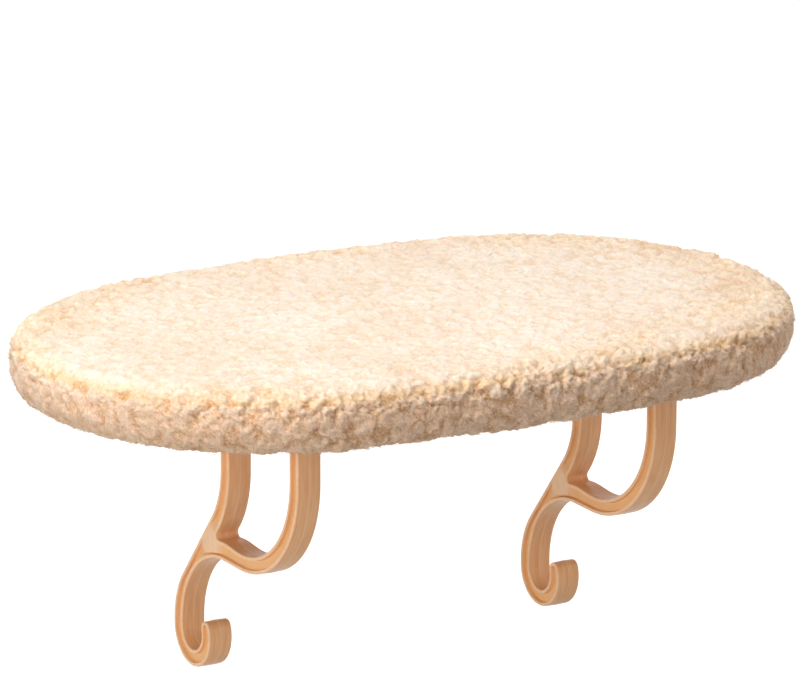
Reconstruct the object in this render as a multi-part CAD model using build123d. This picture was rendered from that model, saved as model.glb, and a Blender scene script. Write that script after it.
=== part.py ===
from build123d import *
import os
from math import asin, atan2, cos, dist, hypot, pi, radians, sin, sqrt, tan

# Window mounted cat perch: a fleece-covered oval pad whose rear part lies on a window sill, on
# hook-and-loop strips, and whose two scroll brackets stand against the wall below the sill.
# Millimetres, +Z up, +Y towards the window, +X to the right seen from the room. The origin is the
# centre of the front sill strip's sticky face, so the sill top is the plane Z = 0.

# Pad, outside the fleece
pad_length = 610.0
pad_depth = 394.0
pad_side_bow = 7.0
pad_height = 50.0
top_edge_radius = 20.0
bottom_edge_radius = 22.0
crown_rise = 2.5

# Layers of the pad
fleece_thickness = 8.7
layer_clearance = 0.3
board_thickness = 12.0
board_edge_radius = 4.0
hem_under_board = 15.0
sill_clearance = 0.5

# Elastic in the hem's casing
elastic_width = 6.0
elastic_thickness = 1.0
elastic_clearance = 0.3
casing_wall = 2.0

# Hook-and-loop strips
strip_length = 300.0
strip_width = 20.0
strip_thickness = 3.0
strip_corner_radius = 3.0
strip_pitch = 24.0

# Where the perch sits in the window
wall_to_front_strip = 30.0
wall_to_pad_centre = 66.5

# Bracket, in its own side view: distances out from the wall and down from the sill plane
pad_end_to_bracket = 153.5
strap_width = 19.0
strap_depth = 13.4
front_leg_out = 187.1
rear_leg_out = 85.2
front_bend_radius = 84.7
front_bend_drop = 37.2
hump_past_limb = 1.0
hump_drop = 106.4
limb_radius = 62.0
limb_drop = 121.2
rear_bend_radius = 62.0
rear_bend_drop = 52.0
shin_tighter = 2.0
shin_below_limb = 0.8
scroll_radius = 27.8
scroll_drop = 187.0
scroll_overturn = 15.0
node_corner_radius = 3.0
wall_land_depth = 0.4
draft_angle = 2.2
strap_edge_radius = 0.9
edge_steps = 2

# Sunk channel in both side faces
rim_width = 2.9
channel_depth = 2.6
channel_draft = 18.0
node_out = 56.0
node_drop = 111.0
node_flush_radius = 11.0
node_fade_radius = 22.0
node_groove = 1.8

# Mounting rail on top of each bracket, and its screws
rail_thickness = 6.0
rail_width = 34.0
rail_front_overhang = 15.0
rail_rear_overhang = 25.0
rail_corner_radius = 8.0
rail_edge_radius = 1.5
screw_edge_distance = 7.5
screw_head_radius = 4.0
screw_head_height = 2.4
screw_shank_radius = 1.9
screw_point_length = 3.0
screw_point_radius = 0.4
screw_length = 15.0
screw_recess_length = 3.4
screw_recess_width = 0.8
screw_recess_depth = 1.2
counterbore_depth = 2.6
counterbore_clearance = 0.5
hole_clearance = 0.35
pilot_clearance = 0.05

# Worked out from the values above
overrun = pad_height
sill_top = 0.0
board_bottom = 2 * strip_thickness
board_top = board_bottom + board_thickness
wall_y = -wall_to_front_strip
pad_y = wall_y - wall_to_pad_centre
board_inset = fleece_thickness + layer_clearance
skirt_bottom = board_bottom + board_edge_radius
hem_inset = board_inset + hem_under_board
crown_radius = (pad_length / 2) ** 2 / (2 * crown_rise)
bracket_pitch = pad_length - 2 * pad_end_to_bracket
scroll_out = scroll_radius - wall_land_depth
limb_out = scroll_out + limb_radius - (scroll_radius - strap_depth)
shin_radius = limb_radius - shin_tighter
shin_drop = limb_drop + limb_radius + shin_below_limb
touching_gap = pad_length / 1e5
long_arc = radians(160)


def heading_between(start, end):
    """Heading of the line that leaves one circle and joins the next. A circle is a centre and a
    signed radius, positive where the outline turns left round it and zero at a sharp corner."""
    (x1, y1, r1), (x2, y2, r2) = start, end
    share = (r2 - r1) / hypot(x2 - x1, y2 - y1)
    return atan2(y2 - y1, x2 - x1) - asin(max(-1, min(1, share)))


def touch_point(circle, heading):
    """Point where an outline with this heading touches the circle."""
    x, y, r = circle
    return x + r * sin(heading), y - r * cos(heading)


def belt(circles):
    """Closed outline that runs round the circles in turn, with tangent lines between them. Where
    two circles touch, there is no line, and both arcs end at the same point."""
    leaving = [heading_between(*pair) for pair in zip(circles, circles[1:] + circles[:1])]
    arriving = leaving[-1:] + leaving[:-1]
    ends = [touch_point(*pair) for pair in zip(circles, leaving)]
    starts = [touch_point(*pair) for pair in zip(circles, arriving)]
    edges = []
    for i, circle in enumerate(circles):
        if dist(ends[i - 1], starts[i]) < touching_gap:
            starts[i] = ends[i - 1]
        else:
            edges.append(Line(ends[i - 1], starts[i]))
        turn = leaving[i] - arriving[i]
        turn = turn % (2 * pi) if circle[2] > 0 else -(-turn % (2 * pi))
        steps = 4 if abs(turn) > long_arc else 2
        points = [touch_point(circle, arriving[i] + turn * k / steps) for k in range(steps + 1)]
        points[0], points[-1] = starts[i], ends[i]
        for k in range(0, steps, 2):
            if circle[2]:
                edges.append(ThreePointArc(*points[k : k + 3]))
    return Wire(edges)


def oval(inset=0.0):
    """Face of the pad's oval, drawn in from its outside: two end arcs and two long shallow arcs."""
    half_depth = pad_depth / 2
    end_radius = half_depth - pad_side_bow
    end_x = pad_length / 2 - end_radius
    side_radius = (half_depth**2 + end_x**2 - end_radius**2) / (2 * pad_side_bow)
    side_y = side_radius - half_depth
    circles = [
        (end_x, 0, end_radius - inset),
        (0, -side_y, side_radius - inset),
        (-end_x, 0, end_radius - inset),
        (0, side_y, side_radius - inset),
    ]
    return Pos(0, pad_y) * make_face(belt(circles))


def slab(face, low, high):
    """Solid between two heights."""
    return Pos(0, 0, low) * extrude(face, amount=high - low)


def edges_at(solid, height):
    """Edges that lie wholly in one horizontal plane."""
    return solid.edges().filter_by_position(Axis.Z, height - touching_gap, height + touching_gap)


def board():
    body = slab(oval(board_inset), board_bottom, board_top)
    body = fillet(edges_at(body, board_bottom), board_edge_radius)
    for x, y in screw_places():
        pilot = Cylinder(screw_shank_radius + pilot_clearance, 2 * screw_reach())
        body -= Pos(x, y, board_bottom) * pilot
    return body


def pad_core(inset, low):
    """The foam's shape, rounded over at its top edge, or the room for it inside the cover."""
    high = pad_height - inset
    body = slab(oval(inset), low, high)
    return fillet(edges_at(body, high), top_edge_radius - inset)


def foam_pad():
    return pad_core(board_inset, board_top)


def cover_outside():
    """The pad's outer shape: slightly crowned on top, with full round edges."""
    ball = Pos(0, pad_y, pad_height - crown_radius) * Sphere(crown_radius)
    body = slab(oval(), sill_top, pad_height) & ball
    body = fillet(body.faces().sort_by(Axis.Z)[-1].edges(), top_edge_radius)
    return fillet(edges_at(body, sill_top), bottom_edge_radius)


def fleece_cover():
    """The cap over the top and the sides, open below so that it lifts straight off."""
    below = slab(oval(-overrun), -overrun, skirt_bottom)
    return cover_outside() - pad_core(fleece_thickness, -overrun) - below


def elastic_ring(clearance):
    """Band that runs round inside the hem's edge, with room about it."""
    middle = (sill_clearance + board_bottom - layer_clearance) / 2
    outer = hem_inset - casing_wall - elastic_width - elastic_clearance
    low = middle - elastic_thickness / 2 - clearance
    high = middle + elastic_thickness / 2 + clearance
    ring = slab(oval(outer - clearance), low, high)
    return ring - slab(oval(outer + elastic_width + clearance), -overrun, overrun)


def cover_hem():
    """The fleece turned in round the board's lower edge and under it, with the elastic's casing."""
    low_slice = slab(oval(-overrun), sill_clearance, skirt_bottom)
    board_space = slab(oval(fleece_thickness), board_bottom - layer_clearance, board_top)
    board_space = fillet(edges_at(board_space, board_bottom - layer_clearance), board_edge_radius)
    opening = slab(oval(hem_inset), -overrun, overrun)
    return (cover_outside() & low_slice) - board_space - opening - elastic_ring(elastic_clearance)


def hem_elastic():
    return elastic_ring(0.0)


def strip(y, bottom):
    """One half of a hook-and-loop pair, with its sticky backing."""
    face = RectangleRounded(strip_length, strip_width, strip_corner_radius)
    return slab(Pos(0, y) * face, bottom, bottom + strip_thickness)


def side_circle(out, drop, radius):
    """A circle of the bracket's outline, from its distances to the wall and the sill plane."""
    return wall_y - out, -drop, radius


def corner_circle(first, second, radius):
    """Small left-hand circle that touches two right-hand ones from outside, on the room side."""
    (x1, y1, r1), (x2, y2, r2) = first, second
    reach1, reach2 = radius - r1, radius - r2
    gap = hypot(x2 - x1, y2 - y1)
    along = (reach1**2 - reach2**2 + gap**2) / (2 * gap)
    aside = sqrt(reach1**2 - along**2)
    ux, uy = (x2 - x1) / gap, (y2 - y1) / gap
    return x1 + along * ux - aside * uy, y1 + along * uy + aside * ux, radius


def bracket_outline(inset, top_drop):
    """Side view of the bracket, in (Y, Z), as one run of tangent arcs and lines, drawn in all round
    by the inset and cut off level near the tops of the legs. Every circle keeps its centre: one
    that the outline leaves on its left grows by the inset, and one on its right shrinks."""
    strap_middle = scroll_radius - strap_depth / 2
    tip_out = scroll_out + strap_middle * cos(radians(scroll_overturn))
    tip_drop = scroll_drop - strap_middle * sin(radians(scroll_overturn))
    rear_bend_out = rear_leg_out - strap_depth - rear_bend_radius
    front_bend_out = front_leg_out - front_bend_radius
    hump_radius = limb_radius + strap_depth
    hump_centre_drop = hump_drop + hump_radius
    hump = side_circle(limb_out + hump_past_limb, hump_centre_drop, inset - hump_radius)
    rear_inside = side_circle(rear_bend_out, rear_bend_drop, inset - rear_bend_radius - strap_depth)
    return belt([
        side_circle(rear_leg_out - strap_depth + inset, top_drop, 0),
        side_circle(rear_bend_out, rear_bend_drop, inset + rear_bend_radius),
        side_circle(shin_radius - wall_land_depth, shin_drop, inset - shin_radius),
        side_circle(scroll_out, scroll_drop, inset - scroll_radius),
        side_circle(tip_out, tip_drop, inset - strap_depth / 2),
        side_circle(scroll_out, scroll_drop, inset + scroll_radius - strap_depth),
        side_circle(limb_out, limb_drop + limb_radius, inset + limb_radius),
        side_circle(front_bend_out, front_bend_drop, inset - front_bend_radius),
        side_circle(front_leg_out - inset, top_drop, 0),
        side_circle(front_leg_out - strap_depth + inset, top_drop, 0),
        side_circle(front_bend_out, front_bend_drop, inset + front_bend_radius - strap_depth),
        hump,
        corner_circle(hump, rear_inside, inset + node_corner_radius),
        rear_inside,
        side_circle(rear_leg_out - inset, top_drop, 0),
    ])


def side_layer(near, near_inset, far, far_inset, top_drop):
    """Solid between two outlines at two distances from the bracket's middle plane."""
    sections = []
    for x, inset in ((near, near_inset), (far, far_inset)):
        sections.append(Pos(x) * (Plane.YZ * make_face(bracket_outline(inset, top_drop))))
    return loft(sections, ruled=True)


def strap_half():
    """Half the strap's width, drafted so that the mould parts at mid width, with a rounded edge."""
    half_width = strap_width / 2
    shoulder = half_width - strap_edge_radius
    drawn_in = shoulder * tan(radians(draft_angle))
    top_drop = rail_thickness / 2 - board_bottom
    half = side_layer(0, 0, shoulder, drawn_in, top_drop)
    places = [(shoulder, drawn_in)]
    for step in range(1, edge_steps + 1):
        turn = pi / 2 * step / edge_steps
        x = shoulder + strap_edge_radius * sin(turn)
        places.append((x, drawn_in + strap_edge_radius * (1 - cos(turn))))
    for (near, near_inset), (far, far_inset) in zip(places, places[1:]):
        half += side_layer(near, near_inset, far, far_inset, top_drop)
    return half


def channel():
    """What is sunk into the strap's right-hand face: all that lies inside the rims, fading out
    where the limbs meet, but for a groove along the rim below."""
    face_x = strap_width / 2
    floor_inset = rim_width + channel_depth * tan(radians(channel_draft))
    tool = side_layer(face_x - channel_depth, floor_inset, face_x, rim_width, rim_width)
    fade = Cone(node_fade_radius, node_flush_radius, channel_depth)
    fade = Pos(face_x - channel_depth / 2) * (Rot(0, 90, 0) * fade)
    fade = Pos(0, wall_y - node_out, -node_drop) * fade
    groove_radius = limb_radius + rim_width + node_groove
    groove = Rot(0, 90, 0) * Cylinder(groove_radius, overrun)
    fade -= Pos(face_x, wall_y - limb_out, -limb_drop - limb_radius) * groove
    return tool - fade


def screw_places_on_rail():
    """Screw centres from the bracket's middle plane: two at each end of the rail."""
    reach = rail_width / 2 - screw_edge_distance
    front = wall_y - front_leg_out - rail_front_overhang + screw_edge_distance
    rear = wall_y - rear_leg_out + strap_depth + rail_rear_overhang - screw_edge_distance
    return [(x, y) for x in (-reach, reach) for y in (front, rear)]


def screw_places():
    return [(side * bracket_pitch / 2 + x, y) for side in (-1, 1) for x, y in screw_places_on_rail()]


def screw_reach():
    """How far a screw goes up into the board."""
    return screw_length - rail_thickness + counterbore_depth


def rail():
    """Flat rail that joins the tops of the legs and lies against the board."""
    front = wall_y - front_leg_out - rail_front_overhang
    rear = wall_y - rear_leg_out + strap_depth + rail_rear_overhang
    face = RectangleRounded(rail_width, rear - front, rail_corner_radius)
    body = slab(Pos(0, (front + rear) / 2) * face, board_bottom - rail_thickness, board_bottom)
    body = fillet(edges_at(body, board_bottom - rail_thickness), rail_edge_radius)
    bore = Cylinder(screw_head_radius + counterbore_clearance, 2 * counterbore_depth)
    hole = Cylinder(screw_shank_radius + hole_clearance, 4 * rail_thickness)
    for x, y in screw_places_on_rail():
        body -= Pos(x, y, board_bottom - rail_thickness) * (bore + hole)
    return body


def bracket():
    """The moulding about its own middle plane."""
    half = strap_half() - channel()
    strap = half + mirror(half, about=Plane.YZ)
    past_wall = Pos(0, wall_y + overrun / 2, -scroll_drop) * Box(overrun, overrun, 2 * overrun)
    return strap - past_wall + rail()


def screw():
    """Pan-head wood screw, head down, with the underside of its head at the origin."""
    outline = Polyline(
        (0, -screw_head_height),
        (screw_head_radius / 2, -screw_head_height),
        (screw_head_radius, -screw_head_height / 2),
        (screw_head_radius, 0),
        (screw_shank_radius, 0),
        (screw_shank_radius, screw_length - screw_point_length),
        (screw_point_radius, screw_length),
        (0, screw_length),
        close=True,
    )
    body = revolve(Plane.XZ * make_face(outline), axis=Axis.Z)
    recess = Box(screw_recess_length, screw_recess_width, screw_recess_depth)
    for turn in (0, 90):
        body -= Pos(0, 0, -screw_head_height + screw_recess_depth / 2) * (Rot(0, 0, turn) * recess)
    return body


def bracket_screws(side):
    """The four screws of one bracket."""
    seat = board_bottom - rail_thickness + counterbore_depth
    middle = side * bracket_pitch / 2
    return Compound([Pos(middle + x, y, seat) * screw() for x, y in screw_places_on_rail()])


moulding = bracket()
parts = {
    "board": board(),
    "foam_pad": foam_pad(),
    "fleece_cover": fleece_cover(),
    "cover_hem": cover_hem(),
    "hem_elastic": hem_elastic(),
    "bracket_left": Pos(-bracket_pitch / 2) * moulding,
    "bracket_right": Pos(bracket_pitch / 2) * moulding,
    "bracket_screws_left": bracket_screws(-1),
    "bracket_screws_right": bracket_screws(1),
    "hook_strip_front": strip(0, strip_thickness),
    "hook_strip_rear": strip(strip_pitch, strip_thickness),
    "loop_strip_front": strip(0, sill_top),
    "loop_strip_rear": strip(strip_pitch, sill_top),
}

os.makedirs("parts", exist_ok=True)
for name, shape in parts.items():
    export_step(shape, f"parts/{name}.step")
    print(name, "solids", len(shape.solids()), "volume", round(sum(s.volume for s in shape.solids())))
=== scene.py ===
# %% [markdown]
# # A window perch, dressed in Blender
#
# The perch is an oval board with foam on it, in a cap of curly fleece. Its rear part lies on a
# window sill, and two scroll brackets stand against the wall below. The CAD model gives every
# piece its place and size. This lesson gives them their surfaces: curly pile, moulded plastic,
# foam, fibreboard, tape and screws. All lengths are in metres.

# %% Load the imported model
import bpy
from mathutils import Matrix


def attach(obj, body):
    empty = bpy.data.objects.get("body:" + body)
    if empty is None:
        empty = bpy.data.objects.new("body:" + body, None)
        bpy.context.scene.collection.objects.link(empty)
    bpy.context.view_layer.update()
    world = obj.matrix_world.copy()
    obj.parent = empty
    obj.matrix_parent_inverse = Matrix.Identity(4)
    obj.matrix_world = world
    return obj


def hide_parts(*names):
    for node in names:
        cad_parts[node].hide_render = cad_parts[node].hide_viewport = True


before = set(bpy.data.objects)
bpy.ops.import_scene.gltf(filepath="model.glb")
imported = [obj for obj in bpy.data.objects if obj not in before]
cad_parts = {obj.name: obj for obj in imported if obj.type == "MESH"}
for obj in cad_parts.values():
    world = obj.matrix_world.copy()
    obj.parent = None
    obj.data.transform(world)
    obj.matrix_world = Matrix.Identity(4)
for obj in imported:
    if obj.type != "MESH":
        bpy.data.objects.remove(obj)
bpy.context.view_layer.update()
print("pieces:", ", ".join(sorted(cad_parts)))

# %% [markdown]
# ## Modules and view
#
# The soft pieces could be shaped by hand. They are written as lists of points and faces instead,
# because all of them follow one oval, and a formula can draw it at any size and as finely as a
# piece needs. The Standard view shows each colour as it is written.

# %% Blender's own modules
from math import atan2, cos, pi, radians, sin, sqrt

import bmesh
import bpy
import numpy as np
from mathutils import Matrix, Vector
from mathutils.geometry import delaunay_2d_cdt

scene = bpy.context.scene
scene.view_settings.view_transform = "Standard"
print("Blender", bpy.app.version_string)

# %% [markdown]
# ## The camera
#
# A camera was fitted to the photograph from the pad's outline and both brackets. It stands far
# off on the left, a little above the pad, with a long lens. Its place is worked out from the
# turn and the tilt of its line of sight, and from where it sees the middle of the pad.

# %% Camera
PHOTO_WIDTH, PHOTO_HEIGHT = 800, 673
SENSOR_WIDTH = 36.0
focal_pixels = 5778.9
turn, tilt, roll = radians(30.637), radians(14.521), -0.00326
camera_distance = 4.2737
pad_centre = Vector((0, -0.0965, 0.02302))
pad_centre_seen_at = (406.68, 340.0)


def fitted_camera():
    """A camera with the photograph's view of the perch."""
    right = Vector((cos(turn), -sin(turn), 0))
    forward = Vector((sin(turn) * cos(tilt), cos(turn) * cos(tilt), -sin(tilt)))
    up = right.cross(forward)
    rolled_right = right * cos(roll) - up * sin(roll)
    rolled_up = right * sin(roll) + up * cos(roll)
    metres_per_pixel = camera_distance / focal_pixels
    aside = (pad_centre_seen_at[0] - PHOTO_WIDTH / 2) * metres_per_pixel
    above = (PHOTO_HEIGHT / 2 - pad_centre_seen_at[1]) * metres_per_pixel
    place = pad_centre - aside * rolled_right - above * rolled_up - camera_distance * forward
    camera = bpy.data.objects.new("camera", bpy.data.cameras.new("camera"))
    axes = Matrix((rolled_right, rolled_up, -forward)).transposed()
    camera.matrix_world = Matrix.Translation(place) @ axes.to_4x4()
    camera.data.sensor_width = SENSOR_WIDTH
    camera.data.lens = focal_pixels * SENSOR_WIDTH / PHOTO_WIDTH
    camera.data.clip_end = 100
    scene.collection.objects.link(camera)
    return camera


scene.camera = fitted_camera()
print("camera at", [round(v, 3) for v in scene.camera.matrix_world.translation])

# %% [markdown]
# ## Node helpers
#
# Materials and Geometry Nodes trees are both networks of nodes. Every node, value and link could
# have a line of its own. One short helper does all three instead. The sums have short names, and
# find the tree from their values, so that they can be read as formulas.


# %% Node helpers
def node(tree, kind, inputs=None, **options):
    """Adds a node to a tree. An input is a value or another node's output."""
    made = tree.nodes.new(kind)
    for name, value in options.items():
        setattr(made, name, value)
    for name, value in (inputs or {}).items():
        if isinstance(value, bpy.types.NodeSocket):
            tree.links.new(value, made.inputs[name])
        else:
            made.inputs[name].default_value = value
    return made


def tree_of(*values):
    """The tree of the first value that is another node's output."""
    return next(value.id_data for value in values if isinstance(value, bpy.types.NodeSocket))


def math(operation, first, second=0.0, clamp=False):
    """The result of a Math node, held between 0 and 1 if it is clamped."""
    inputs, options = {0: first, 1: second}, {"operation": operation, "use_clamp": clamp}
    return node(tree_of(first, second), "ShaderNodeMath", inputs, **options).outputs[0]


def plus(first, second):
    return math("ADD", first, second)


def minus(first, second, clamp=False):
    return math("SUBTRACT", first, second, clamp)


def times(first, second, clamp=False):
    return math("MULTIPLY", first, second, clamp)


def over(first, second, clamp=False):
    return math("DIVIDE", first, second, clamp)


def absolute(value):
    return math("ABSOLUTE", value)


def parts(vector):
    """The X, Y and Z of a vector."""
    return node(vector.id_data, "ShaderNodeSeparateXYZ", {0: vector}).outputs


print("short names:", ", ".join(short.__name__ for short in (plus, minus, times, over)))

# %% [markdown]
# ## Colours
#
# A maker matches a colour as a picture shows it, so the colours here are written from 0 to 255. A
# shader counts in linear light, and one formula turns the first into the second. A ramp spreads
# colours over a pattern, and a blend lays one colour over another.

# %% Colours
WHITE = (1, 1, 1)


def colour(red, green, blue):
    """A colour from the 0 to 255 values that a picture shows, as linear light."""
    shares = [value / 255 for value in (red, green, blue)]
    return tuple(s / 12.92 if s <= 0.04045 else ((s + 0.055) / 1.055) ** 2.4 for s in shares)


def grey(level):
    return (level, level, level)


def ramp(value, *stops):
    """A colour ramp through (position, colour) stops."""
    made = node(value.id_data, "ShaderNodeValToRGB", {"Fac": value})
    elements = made.color_ramp.elements
    while len(elements) < len(stops):
        elements.new(0.5)
    for element, (position, shade) in zip(elements, stops):
        element.position = position
        element.color = (*shade, 1)
    return made.outputs["Color"]


def mixed(share, first, second, blend="MIX"):
    """A share of the second colour over the first. Each is a value or another node's output."""
    inputs = {0: share}
    for socket, shade in ((6, first), (7, second)):
        inputs[socket] = (*shade, 1) if isinstance(shade, tuple) else shade
    options = {"data_type": "RGBA", "blend_type": blend}
    return node(tree_of(share, first, second), "ShaderNodeMix", inputs, **options).outputs[2]


print("a grey of 128 is", round(colour(128, 128, 128)[0], 3), "in linear light")

# %% [markdown]
# ## Lamps
#
# One lamp high on the left would be enough for the top of the pad, which is brightest there in
# the photograph. Its side and the brackets would be dull, so a second lamp stands low on the
# left, and a weak third one fills the right end. All three are broad, for soft shadows.


# %% Lamps
def lamp(name, place, size, power, tint):
    """A square soft lamp that faces the pad."""
    made = bpy.data.objects.new(name, bpy.data.lights.new(name, "AREA"))
    made.data.size = size
    made.data.energy = power
    made.data.color = tint
    made.location = place
    made.rotation_euler = (pad_centre - Vector(place)).to_track_quat("-Z", "Y").to_euler()
    scene.collection.objects.link(made)


lamp("key_lamp", (-1.3, -0.7, 3.0), size=1.3, power=98, tint=(1, 0.99, 0.97))
lamp("side_lamp", (-2.9, -1.3, 0.35), size=1.4, power=45, tint=(1, 0.94, 0.88))
lamp("fill_lamp", (3.1, -0.9, 0.5), size=1.6, power=32, tint=(1, 0.92, 0.86))
print("lamps:", ", ".join(sorted(light.name for light in bpy.data.lights)))

# %% [markdown]
# ## World and floor
#
# The background is white. Lamps could light the floor until it is white, but they would burn out
# the fleece. So the world and the floor glow only where they are seen, directly or in gloss or
# glass. Otherwise the world is a weak warm fill, and the floor is matt and catches the shadow. It
# lies far below the feet, because the real perch hangs on a wall.

# %% World
WORLD_FILL = 0.2
WORLD_TINT = (1, 0.86, 0.72)


def seen_directly(tree):
    """1 for rays from the camera and those through gloss or glass, and 0 for all others."""
    path = node(tree, "ShaderNodeLightPath").outputs
    seen = math("MAXIMUM", path["Is Camera Ray"], path["Is Glossy Ray"])
    return math("MAXIMUM", seen, path["Is Transmission Ray"])


def pale_world():
    """White where it is seen, and a weak warm fill for everything else."""
    world = bpy.data.worlds.new("studio")
    world.use_nodes = True
    tree = world.node_tree
    tree.nodes.clear()
    seen = seen_directly(tree)
    strength = plus(times(seen, 1 - WORLD_FILL), WORLD_FILL)
    tint = mixed(seen, WORLD_TINT, WHITE)
    back = node(tree, "ShaderNodeBackground", {"Color": tint, "Strength": strength})
    node(tree, "ShaderNodeOutputWorld", {"Surface": back.outputs[0]})
    return world


scene.world = pale_world()
print("world:", scene.world.name)

# %% Floor
FLOOR_HALF, FLOOR_HEIGHT = 6.0, -0.42
FLOOR_COLOUR = (0.5, 0.48, 0.46, 1)
NEAR, NEAR_GLOW, FAR, FAR_GLOW = 0.4, 0.66, 1.4, 1.0


def floor_material():
    """Matt, with a glow that rises to white away from the perch, where it is seen."""
    material = bpy.data.materials.new("pale_floor")
    material.use_nodes = True
    tree = material.node_tree
    tree.nodes.clear()
    place = node(tree, "ShaderNodeTexCoord").outputs["Object"]
    level = node(tree, "ShaderNodeVectorMath", {0: place, 1: (1, 1, 0)}, operation="MULTIPLY")
    away = node(tree, "ShaderNodeVectorMath", {0: level.outputs[0]}, operation="LENGTH")
    glow = node(tree, "ShaderNodeMapRange", {
        0: away.outputs["Value"], 1: NEAR, 2: FAR, 3: NEAR_GLOW, 4: FAR_GLOW})
    strength = times(seen_directly(tree), glow.outputs[0])
    matt = node(tree, "ShaderNodeBsdfDiffuse", {"Color": FLOOR_COLOUR})
    light = node(tree, "ShaderNodeEmission", {"Strength": strength})
    both = node(tree, "ShaderNodeAddShader", {0: matt.outputs[0], 1: light.outputs[0]})
    node(tree, "ShaderNodeOutputMaterial", {"Surface": both.outputs[0]})
    return material


def pale_floor():
    """A wide square floor."""
    mesh = bpy.data.meshes.new("floor")
    signs = ((-1, -1), (1, -1), (1, 1), (-1, 1))
    corners = [(x * FLOOR_HALF, y * FLOOR_HALF, FLOOR_HEIGHT) for x, y in signs]
    mesh.from_pydata(corners, [], [(0, 1, 2, 3)])
    mesh.materials.append(floor_material())
    floor = bpy.data.objects.new("floor", mesh)
    scene.collection.objects.link(floor)


pale_floor()
print("floor:", -FLOOR_HEIGHT, "m below the sill")

# %% [markdown]
# ## Finishes
#
# A real finish is never one flat colour. Pictures of surfaces could be wrapped round the pieces,
# but they would need flat layouts and show seams. Patterns worked out from the place on the piece
# need neither. They are in metres on the piece itself, so that they stay on it as it moves.


# %% A finish to start from
def finish(name, roughness, **fixed):
    """A new material with a surface shader. Returns the material, its tree and the shader."""
    material = bpy.data.materials.new(name)
    material.use_nodes = True
    tree = material.node_tree
    shader = tree.nodes["Principled BSDF"]
    shader.inputs["Roughness"].default_value = roughness
    for socket, value in fixed.items():
        shader.inputs[socket.replace("_", " ")].default_value = value
    return material, tree, shader


def place_on_piece(tree):
    return node(tree, "ShaderNodeTexCoord").outputs["Object"]


def facing_on_piece(tree):
    return node(tree, "ShaderNodeTexCoord").outputs["Normal"]


def grain(place, scale, detail=3.0, roughness=0.55):
    """Noise in cycles a metre."""
    inputs = {"Vector": place, "Scale": scale, "Detail": detail, "Roughness": roughness}
    return node(place.id_data, "ShaderNodeTexNoise", inputs).outputs["Fac"]


def bump(shader, height, depth):
    """Lifts the surface by depth times the height, in metres."""
    inputs = {"Height": height, "Distance": depth, "Strength": 1.0}
    made = node(shader.id_data, "ShaderNodeBump", inputs)
    shader.id_data.links.new(made.outputs[0], shader.inputs["Normal"])


def grained(shader, scale, dark, pale, detail=3.0):
    """Colours the surface with fine grain between two shades."""
    pattern = grain(place_on_piece(shader.id_data), scale, detail)
    shade = ramp(pattern, (0.3, dark), (0.7, pale))
    shader.id_data.links.new(shade, shader.inputs["Base Color"])


def finish_nodes(material, *names):
    """Gives CAD nodes a material."""
    for name in names:
        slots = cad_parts[name].data.materials
        slots.clear()
        slots.append(material)
        print(name, "is", material.name)


print("materials so far:", len(bpy.data.materials))

# %% [markdown]
# ## Moulded plastic for the brackets
#
# A bracket is one moulding of tan plastic with a satin skin. The sunk channels in its side faces
# get a more golden colour that is painted shade. The rims beside them get painted highlights along
# their edges, and a thin painted highlight runs along the seam in the middle of the straps, where
# the two halves of the mould met. Each part could have a material of its own. One material does it
# all, because the distance from the bracket's middle plane, and the way a face looks, tell the
# parts apart. Faint streaks follow the plastic's flow.

# %% Bracket plastic
BRACKET_X = 0.1515
RIM_FROM, HALF_STRAP, HALF_SEAM = 0.0078, 0.0095, 0.0006
TAN_DARK, TAN_LIGHT = colour(236, 182, 134), colour(248, 201, 156)
# Painted shade for the channel, and painted highlights for the rim edges and the seam.
CHANNEL_SHADE_GOLD = colour(240, 190, 124)
RIM_HIGHLIGHT, SEAM_HIGHLIGHT = colour(255, 228, 196), colour(254, 222, 182)
CHANNEL_SHADE_SHARE, RIM_HIGHLIGHT_SHARE, SEAM_HIGHLIGHT_SHARE = 0.75, 0.9, 0.6
SIDE_FACE, STRAP_FACE = 0.6, 0.5
STREAK_DEPTH = 0.00008


def bracket_tint(tree, place, streaks):
    """Tan, with painted shade in the channel, painted highlights in patches on the rim edges, and a
    painted highlight on the parting seam.
    """
    across = absolute(minus(absolute(parts(place)[0]), BRACKET_X))
    sideways = absolute(parts(facing_on_piece(tree))[0])
    tint = ramp(streaks, (0.3, TAN_DARK), (0.7, TAN_LIGHT))
    side_face = math("GREATER_THAN", sideways, SIDE_FACE)
    sunk = times(side_face, math("LESS_THAN", across, RIM_FROM))
    # Painted shade: the sunk channel is tinted more golden.
    tint = mixed(times(sunk, CHANNEL_SHADE_SHARE), tint, CHANNEL_SHADE_GOLD)
    # Painted highlight: the outer edges of the rims are paled in patches.
    rim = over(minus(across, RIM_FROM), HALF_STRAP - RIM_FROM, clamp=True)
    patches = times(grain(place, 260), RIM_HIGHLIGHT_SHARE)
    worn = times(math("POWER", rim, 3.0), patches, clamp=True)
    tint = mixed(worn, tint, RIM_HIGHLIGHT)
    # Painted highlight: a thin pale line along the parting seam on the strap faces.
    seam = times(minus(1.0, over(across, HALF_SEAM), clamp=True), SEAM_HIGHLIGHT_SHARE)
    strap_face = math("LESS_THAN", sideways, STRAP_FACE)
    return mixed(times(seam, strap_face), tint, SEAM_HIGHLIGHT)


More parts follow.
